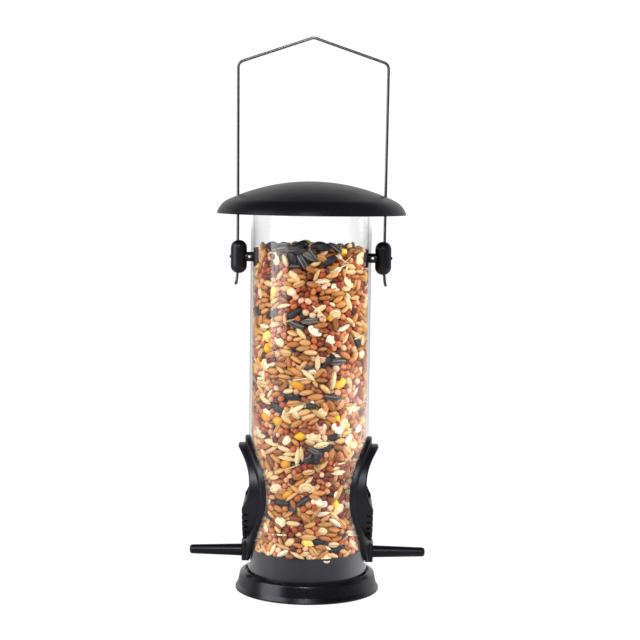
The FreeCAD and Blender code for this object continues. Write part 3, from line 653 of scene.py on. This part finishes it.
# each grain's second, darker colour serves its lines, germ end and flake ring, and is also painted shade in
# the groove of wheat and barley
grainLooks = {
    "wheat": {"stops": ((0.0, srgb(132, 74, 36)), (0.3, srgb(184, 116, 56)), (0.62, srgb(210, 148, 82)),
                        (0.85, srgb(224, 176, 114)), (1.0, srgb(238, 206, 158))),
              "darkSkinAndCreaseShade": srgb(104, 58, 30), "creaseShadeWidth": 0.17, "lines": 0.12, "roughness": 0.42},
    "barley": {"stops": ((0.0, srgb(178, 126, 70)), (0.3, srgb(216, 172, 112)), (0.6, srgb(232, 204, 150)),
                         (0.85, srgb(244, 226, 186)), (1.0, srgb(250, 240, 214))),
               "darkSkinAndCreaseShade": srgb(150, 100, 56), "creaseShadeWidth": 0.12, "lines": 0.3, "roughness": 0.5},
    "milo": {"stops": ((0.0, srgb(82, 32, 25)), (0.3, srgb(150, 66, 32)), (0.55, srgb(190, 99, 52)),
                       (0.8, srgb(214, 147, 102)), (1.0, srgb(236, 199, 166))),
             "darkSkinAndCreaseShade": srgb(96, 44, 36), "creaseShadeWidth": 0.0, "lines": 0.05, "roughness": 0.36},
    "maize": {"stops": ((0.0, srgb(206, 140, 22)), (0.4, srgb(236, 182, 40)), (0.8, srgb(246, 206, 74)),
                        (1.0, srgb(250, 226, 140))),
              "darkSkinAndCreaseShade": srgb(170, 110, 30), "creaseShadeWidth": 0.0, "lines": 0.05, "roughness": 0.38},
    "sunflower": {"stops": ((0.0, srgb(28, 27, 32)), (0.6, srgb(44, 43, 48)), (0.85, srgb(62, 60, 64)),
                            (1.0, srgb(96, 86, 78))),
                  "darkSkinAndCreaseShade": srgb(18, 18, 20), "creaseShadeWidth": 0.0, "lines": 0.75, "roughness": 0.4},
    "flake": {"stops": ((0.0, srgb(226, 198, 150)), (0.5, srgb(242, 224, 184)),
                        (1.0, srgb(250, 242, 220))),
              "darkSkinAndCreaseShade": srgb(176, 128, 78), "creaseShadeWidth": 0.0, "lines": 0.08, "roughness": 0.5},
    "straw": {"stops": ((0.0, srgb(196, 160, 110)), (0.5, srgb(236, 214, 170)),
                        (1.0, srgb(250, 242, 222))),
              "darkSkinAndCreaseShade": srgb(150, 110, 70), "creaseShadeWidth": 0.0, "lines": 0.3, "roughness": 0.5},
}


def grainFinish(name, look):
    finish = newFinish(name + "Skin")
    tone = finish.attribute("tone", "Fac")
    x, y, z = finish.axes(finish.attribute("grainSpot", "Vector"))
    where = finish.place()
    blotch = finish.noise(where, 420.0, 3.0)
    fine = finish.noise(where, 1500.0, 2.0)
    colour = finish.ramp(tone + (blotch - 0.5) * 0.35, look["stops"])
    # fine lines from end to end, paler or darker than the skin
    lines = finish.band((y * 21.0 + z * 9.0 + blotch * 2.0).wave(), -0.2, 0.9)
    if name == "sunflower":
        stripe = finish.band((y * 8.5 + tone * 6.0).wave(), 0.72, 0.95) * finish.band(tone, 0.55, 0.7)
        colour = finish.blend(stripe * 0.8, colour, srgb(168, 160, 150))
        colour = finish.blend(lines * 0.3, colour, srgb(16, 16, 18))
    else:
        colour = finish.blend(lines * look["lines"] * 0.6, colour, look["darkSkinAndCreaseShade"])
    # painted shade: the groove along the belly is darkened where the crease shades itself
    if look["creaseShadeWidth"]:
        width = look["creaseShadeWidth"]
        darkSkinAndCreaseShade = finish.band(abs(y), width, width * 0.3) * finish.band(z, 0.0, -0.3)
        colour = finish.blend(darkSkinAndCreaseShade * 0.75, colour, look["darkSkinAndCreaseShade"])
    if name == "flake":
        ring = finish.band(abs((x * x + y * y) ** 0.5 - 0.55), 0.14, 0.03)
        colour = finish.blend(ring * 0.55, colour, look["darkSkinAndCreaseShade"])
    # the germ end is darker
    germ = finish.band(x, 0.72, 0.98)
    colour = finish.blend(germ * 0.45, colour, look["darkSkinAndCreaseShade"])
    relief = fine * 0.35 + lines * look["lines"] + blotch * 0.4
    shader = finish.surface({
        "Base Color": colour,
        "Roughness": look["roughness"] + (blotch - 0.5) * 0.2,
        "Specular IOR Level": 0.38,
        "Normal": finish.bump(relief, 0.00012),
    })
    return finish.show(shader)


heap = pourSeed(seedRoom, pouring, grainKinds, sunflowerClumps, settling)
for name in grainKinds:
    skin = grainFinish(name, grainLooks[name])
    piece = layGrains(name, heap, grainKinds, grainShapes, skin, seedRoom["wall"])
    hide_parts("seed_fill")
    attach(piece, "feeder")
print("seed poured")


# a dark rough solid stands behind the grains, so that no light comes through the heap; its dark brown is
# painted shade, standing for grains deep in the heap's shadow
# between hoodLow and hoodHigh it narrows to waist each side, which leaves room for the ports
heart = {"radius": 23.0, "low": 31.0, "high": 192.0, "hoodLow": 42.0, "hoodHigh": 90.0, "waist": 15.5,
         "step": 3, "slack": 1e-5}


def seedHeart(shape):
    bpy.ops.object.select_all(action="DESELECT")
    middle = (shape["low"] + shape["high"]) / 2000
    bpy.ops.mesh.primitive_cylinder_add(vertices=48, radius=shape["radius"] / 1000,
                                        depth=(shape["high"] - shape["low"]) / 1000,
                                        location=(0.0, 0.0, middle))
    piece = bpy.context.object
    piece.name = "seedHeart"
    bpy.ops.object.transform_apply(location=True, rotation=True, scale=True)
    bpy.ops.object.mode_set(mode="EDIT")
    levels = (shape["hoodLow"] - shape["step"], shape["hoodLow"],
              shape["hoodHigh"], shape["hoodHigh"] + shape["step"])
    for level in levels:
        bpy.ops.mesh.select_all(action="SELECT")
        bpy.ops.mesh.bisect(plane_co=(0.0, 0.0, level / 1000), plane_no=(0.0, 0.0, 1.0))
    low = shape["hoodLow"] / 1000 - shape["slack"]
    high = shape["hoodHigh"] / 1000 + shape["slack"]
    waist = shape["waist"] / 1000
    select(piece, lambda p: low < p.z < high and abs(p.x) > waist)
    bpy.ops.object.mode_set(mode="OBJECT")
    for point in piece.data.vertices:
        if point.select:
            point.co.x = math.copysign(waist, point.co.x)
    return piece


def heartShadeFinish():
    finish = newFinish("paintedShadeSeed")
    spot = finish.place()
    lumps = finish.add("ShaderNodeTexVoronoi", None, {"Vector": spot, "Scale": 260.0}, "Distance")
    tone = finish.noise(spot, 180.0, 3.0)
    # painted shade: near-black browns for seed lying deep in shadow
    colour = finish.ramp(tone, ((0.3, srgb(16, 9, 6)), (0.7, srgb(40, 24, 15))))
    shader = finish.surface({
        "Base Color": colour,
        "Roughness": 0.8 + tone * 0.15,
        "Normal": finish.bump(1.0 - lumps, 0.001),
    })
    return finish.show(shader)


heartPiece = seedHeart(heart)
heartPiece.data.materials.append(heartShadeFinish())
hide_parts("seed_fill")
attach(heartPiece, "feeder")
print("heart of the heap made")


# floor, light and camera
studio = {
    "room": 0.06, "backdrop": 1.05, "paper": 1.05, "floorGlow": 0.05, "floorWhite": 1.1, "floorSeen": 0.94,
    "aim": (0.0, 0.0, 0.12), "camera": (0.0057, -0.940, 0.2429), "pitch": -5.15, "roll": 0.78,
    "lens": 91.125,
}
white = (1.0, 1.0, 1.0, 1.0)


def floorPaper(name, look):
    finish = newFinish(name)
    tone = finish.blend(finish.noise(finish.place(), 6.0), (0.52, 0.52, 0.52, 1), (0.56, 0.56, 0.56, 1))
    paper = finish.surface({
        "Base Color": tone,
        "Roughness": 0.9,
        "Specular IOR Level": 0.1,
        "Emission Color": white,
        "Emission Strength": look["floorGlow"],
    })
    # the paper runs white into the backdrop, with only a trace of shadow
    bright = finish.add("ShaderNodeEmission", None, {"Color": white, "Strength": look["floorWhite"]})
    seen = finish.add("ShaderNodeLightPath", take="Is Camera Ray") * look["floorSeen"]
    return finish.show(finish.add("ShaderNodeMixShader", None, {0: seen, 1: paper, 2: bright}))


floorMaterial = floorPaper("paleFloor", studio)
bpy.ops.object.select_all(action="DESELECT")
bpy.ops.mesh.primitive_plane_add(size=12.0, location=(0.0, 0.0, 0.0))
floor = bpy.context.object
floor.name = "floor"
floor.data.materials.append(floorMaterial)


def skyLight(name, look):  # a bright backdrop behind the feeder, a dim room in front, white to the camera
    sky = Finish(bpy.data.worlds.new(name))
    away, upward = sky.axes(sky.add("ShaderNodeTexCoord", take="Generated"))[1:]
    level = sky.band(abs(upward), 0.9, 0.15)
    glow = sky.band(away * level, 0.05, 0.45, look["room"], look["backdrop"])
    seen = sky.add("ShaderNodeLightPath", take="Is Camera Ray")
    strength = sky.band(seen, 0.0, 1.0, glow, look["paper"])
    background = sky.add("ShaderNodeBackground", None, {"Color": white, "Strength": strength})
    return sky.show(background, "ShaderNodeOutputWorld")


bpy.context.scene.world = skyLight("whiteStudio", studio)


def softbox(name, place, width, height, power):
    light = bpy.data.lights.new(name, "AREA")
    light.shape = "RECTANGLE"
    light.size = width
    light.size_y = height
    light.energy = power
    lamp = bpy.data.objects.new(name, light)
    bpy.context.scene.collection.objects.link(lamp)
    lamp.location = place
    direction = Vector(studio["aim"]) - Vector(place)
    lamp.rotation_euler = direction.to_track_quat("-Z", "Y").to_euler()
    return lamp


softbox("sideLeft", (-0.85, -0.45, 0.45), 0.7, 0.9, 10.0)
sideRight = softbox("sideRight", (0.88, -0.1, 0.42), 0.7, 0.9, 17.0)
sideRight.visible_glossy = False
softbox("frontFill", (-0.1, -1.35, 0.95), 0.35, 0.35, 14.0)

cameraData = bpy.data.cameras.new("camera")
cameraData.lens = studio["lens"]
cameraData.sensor_width = 36.0
cameraData.clip_end = 20.0
camera = bpy.data.objects.new("camera", cameraData)
bpy.context.scene.collection.objects.link(camera)
turn = Matrix.Rotation(math.radians(90 + studio["pitch"]), 4, "X")
turn = turn @ Matrix.Rotation(math.radians(studio["roll"]), 4, "Z")
camera.matrix_world = Matrix.Translation(studio["camera"]) @ turn
bpy.context.scene.camera = camera
bpy.context.scene.view_settings.view_transform = "Standard"
print("studio set")
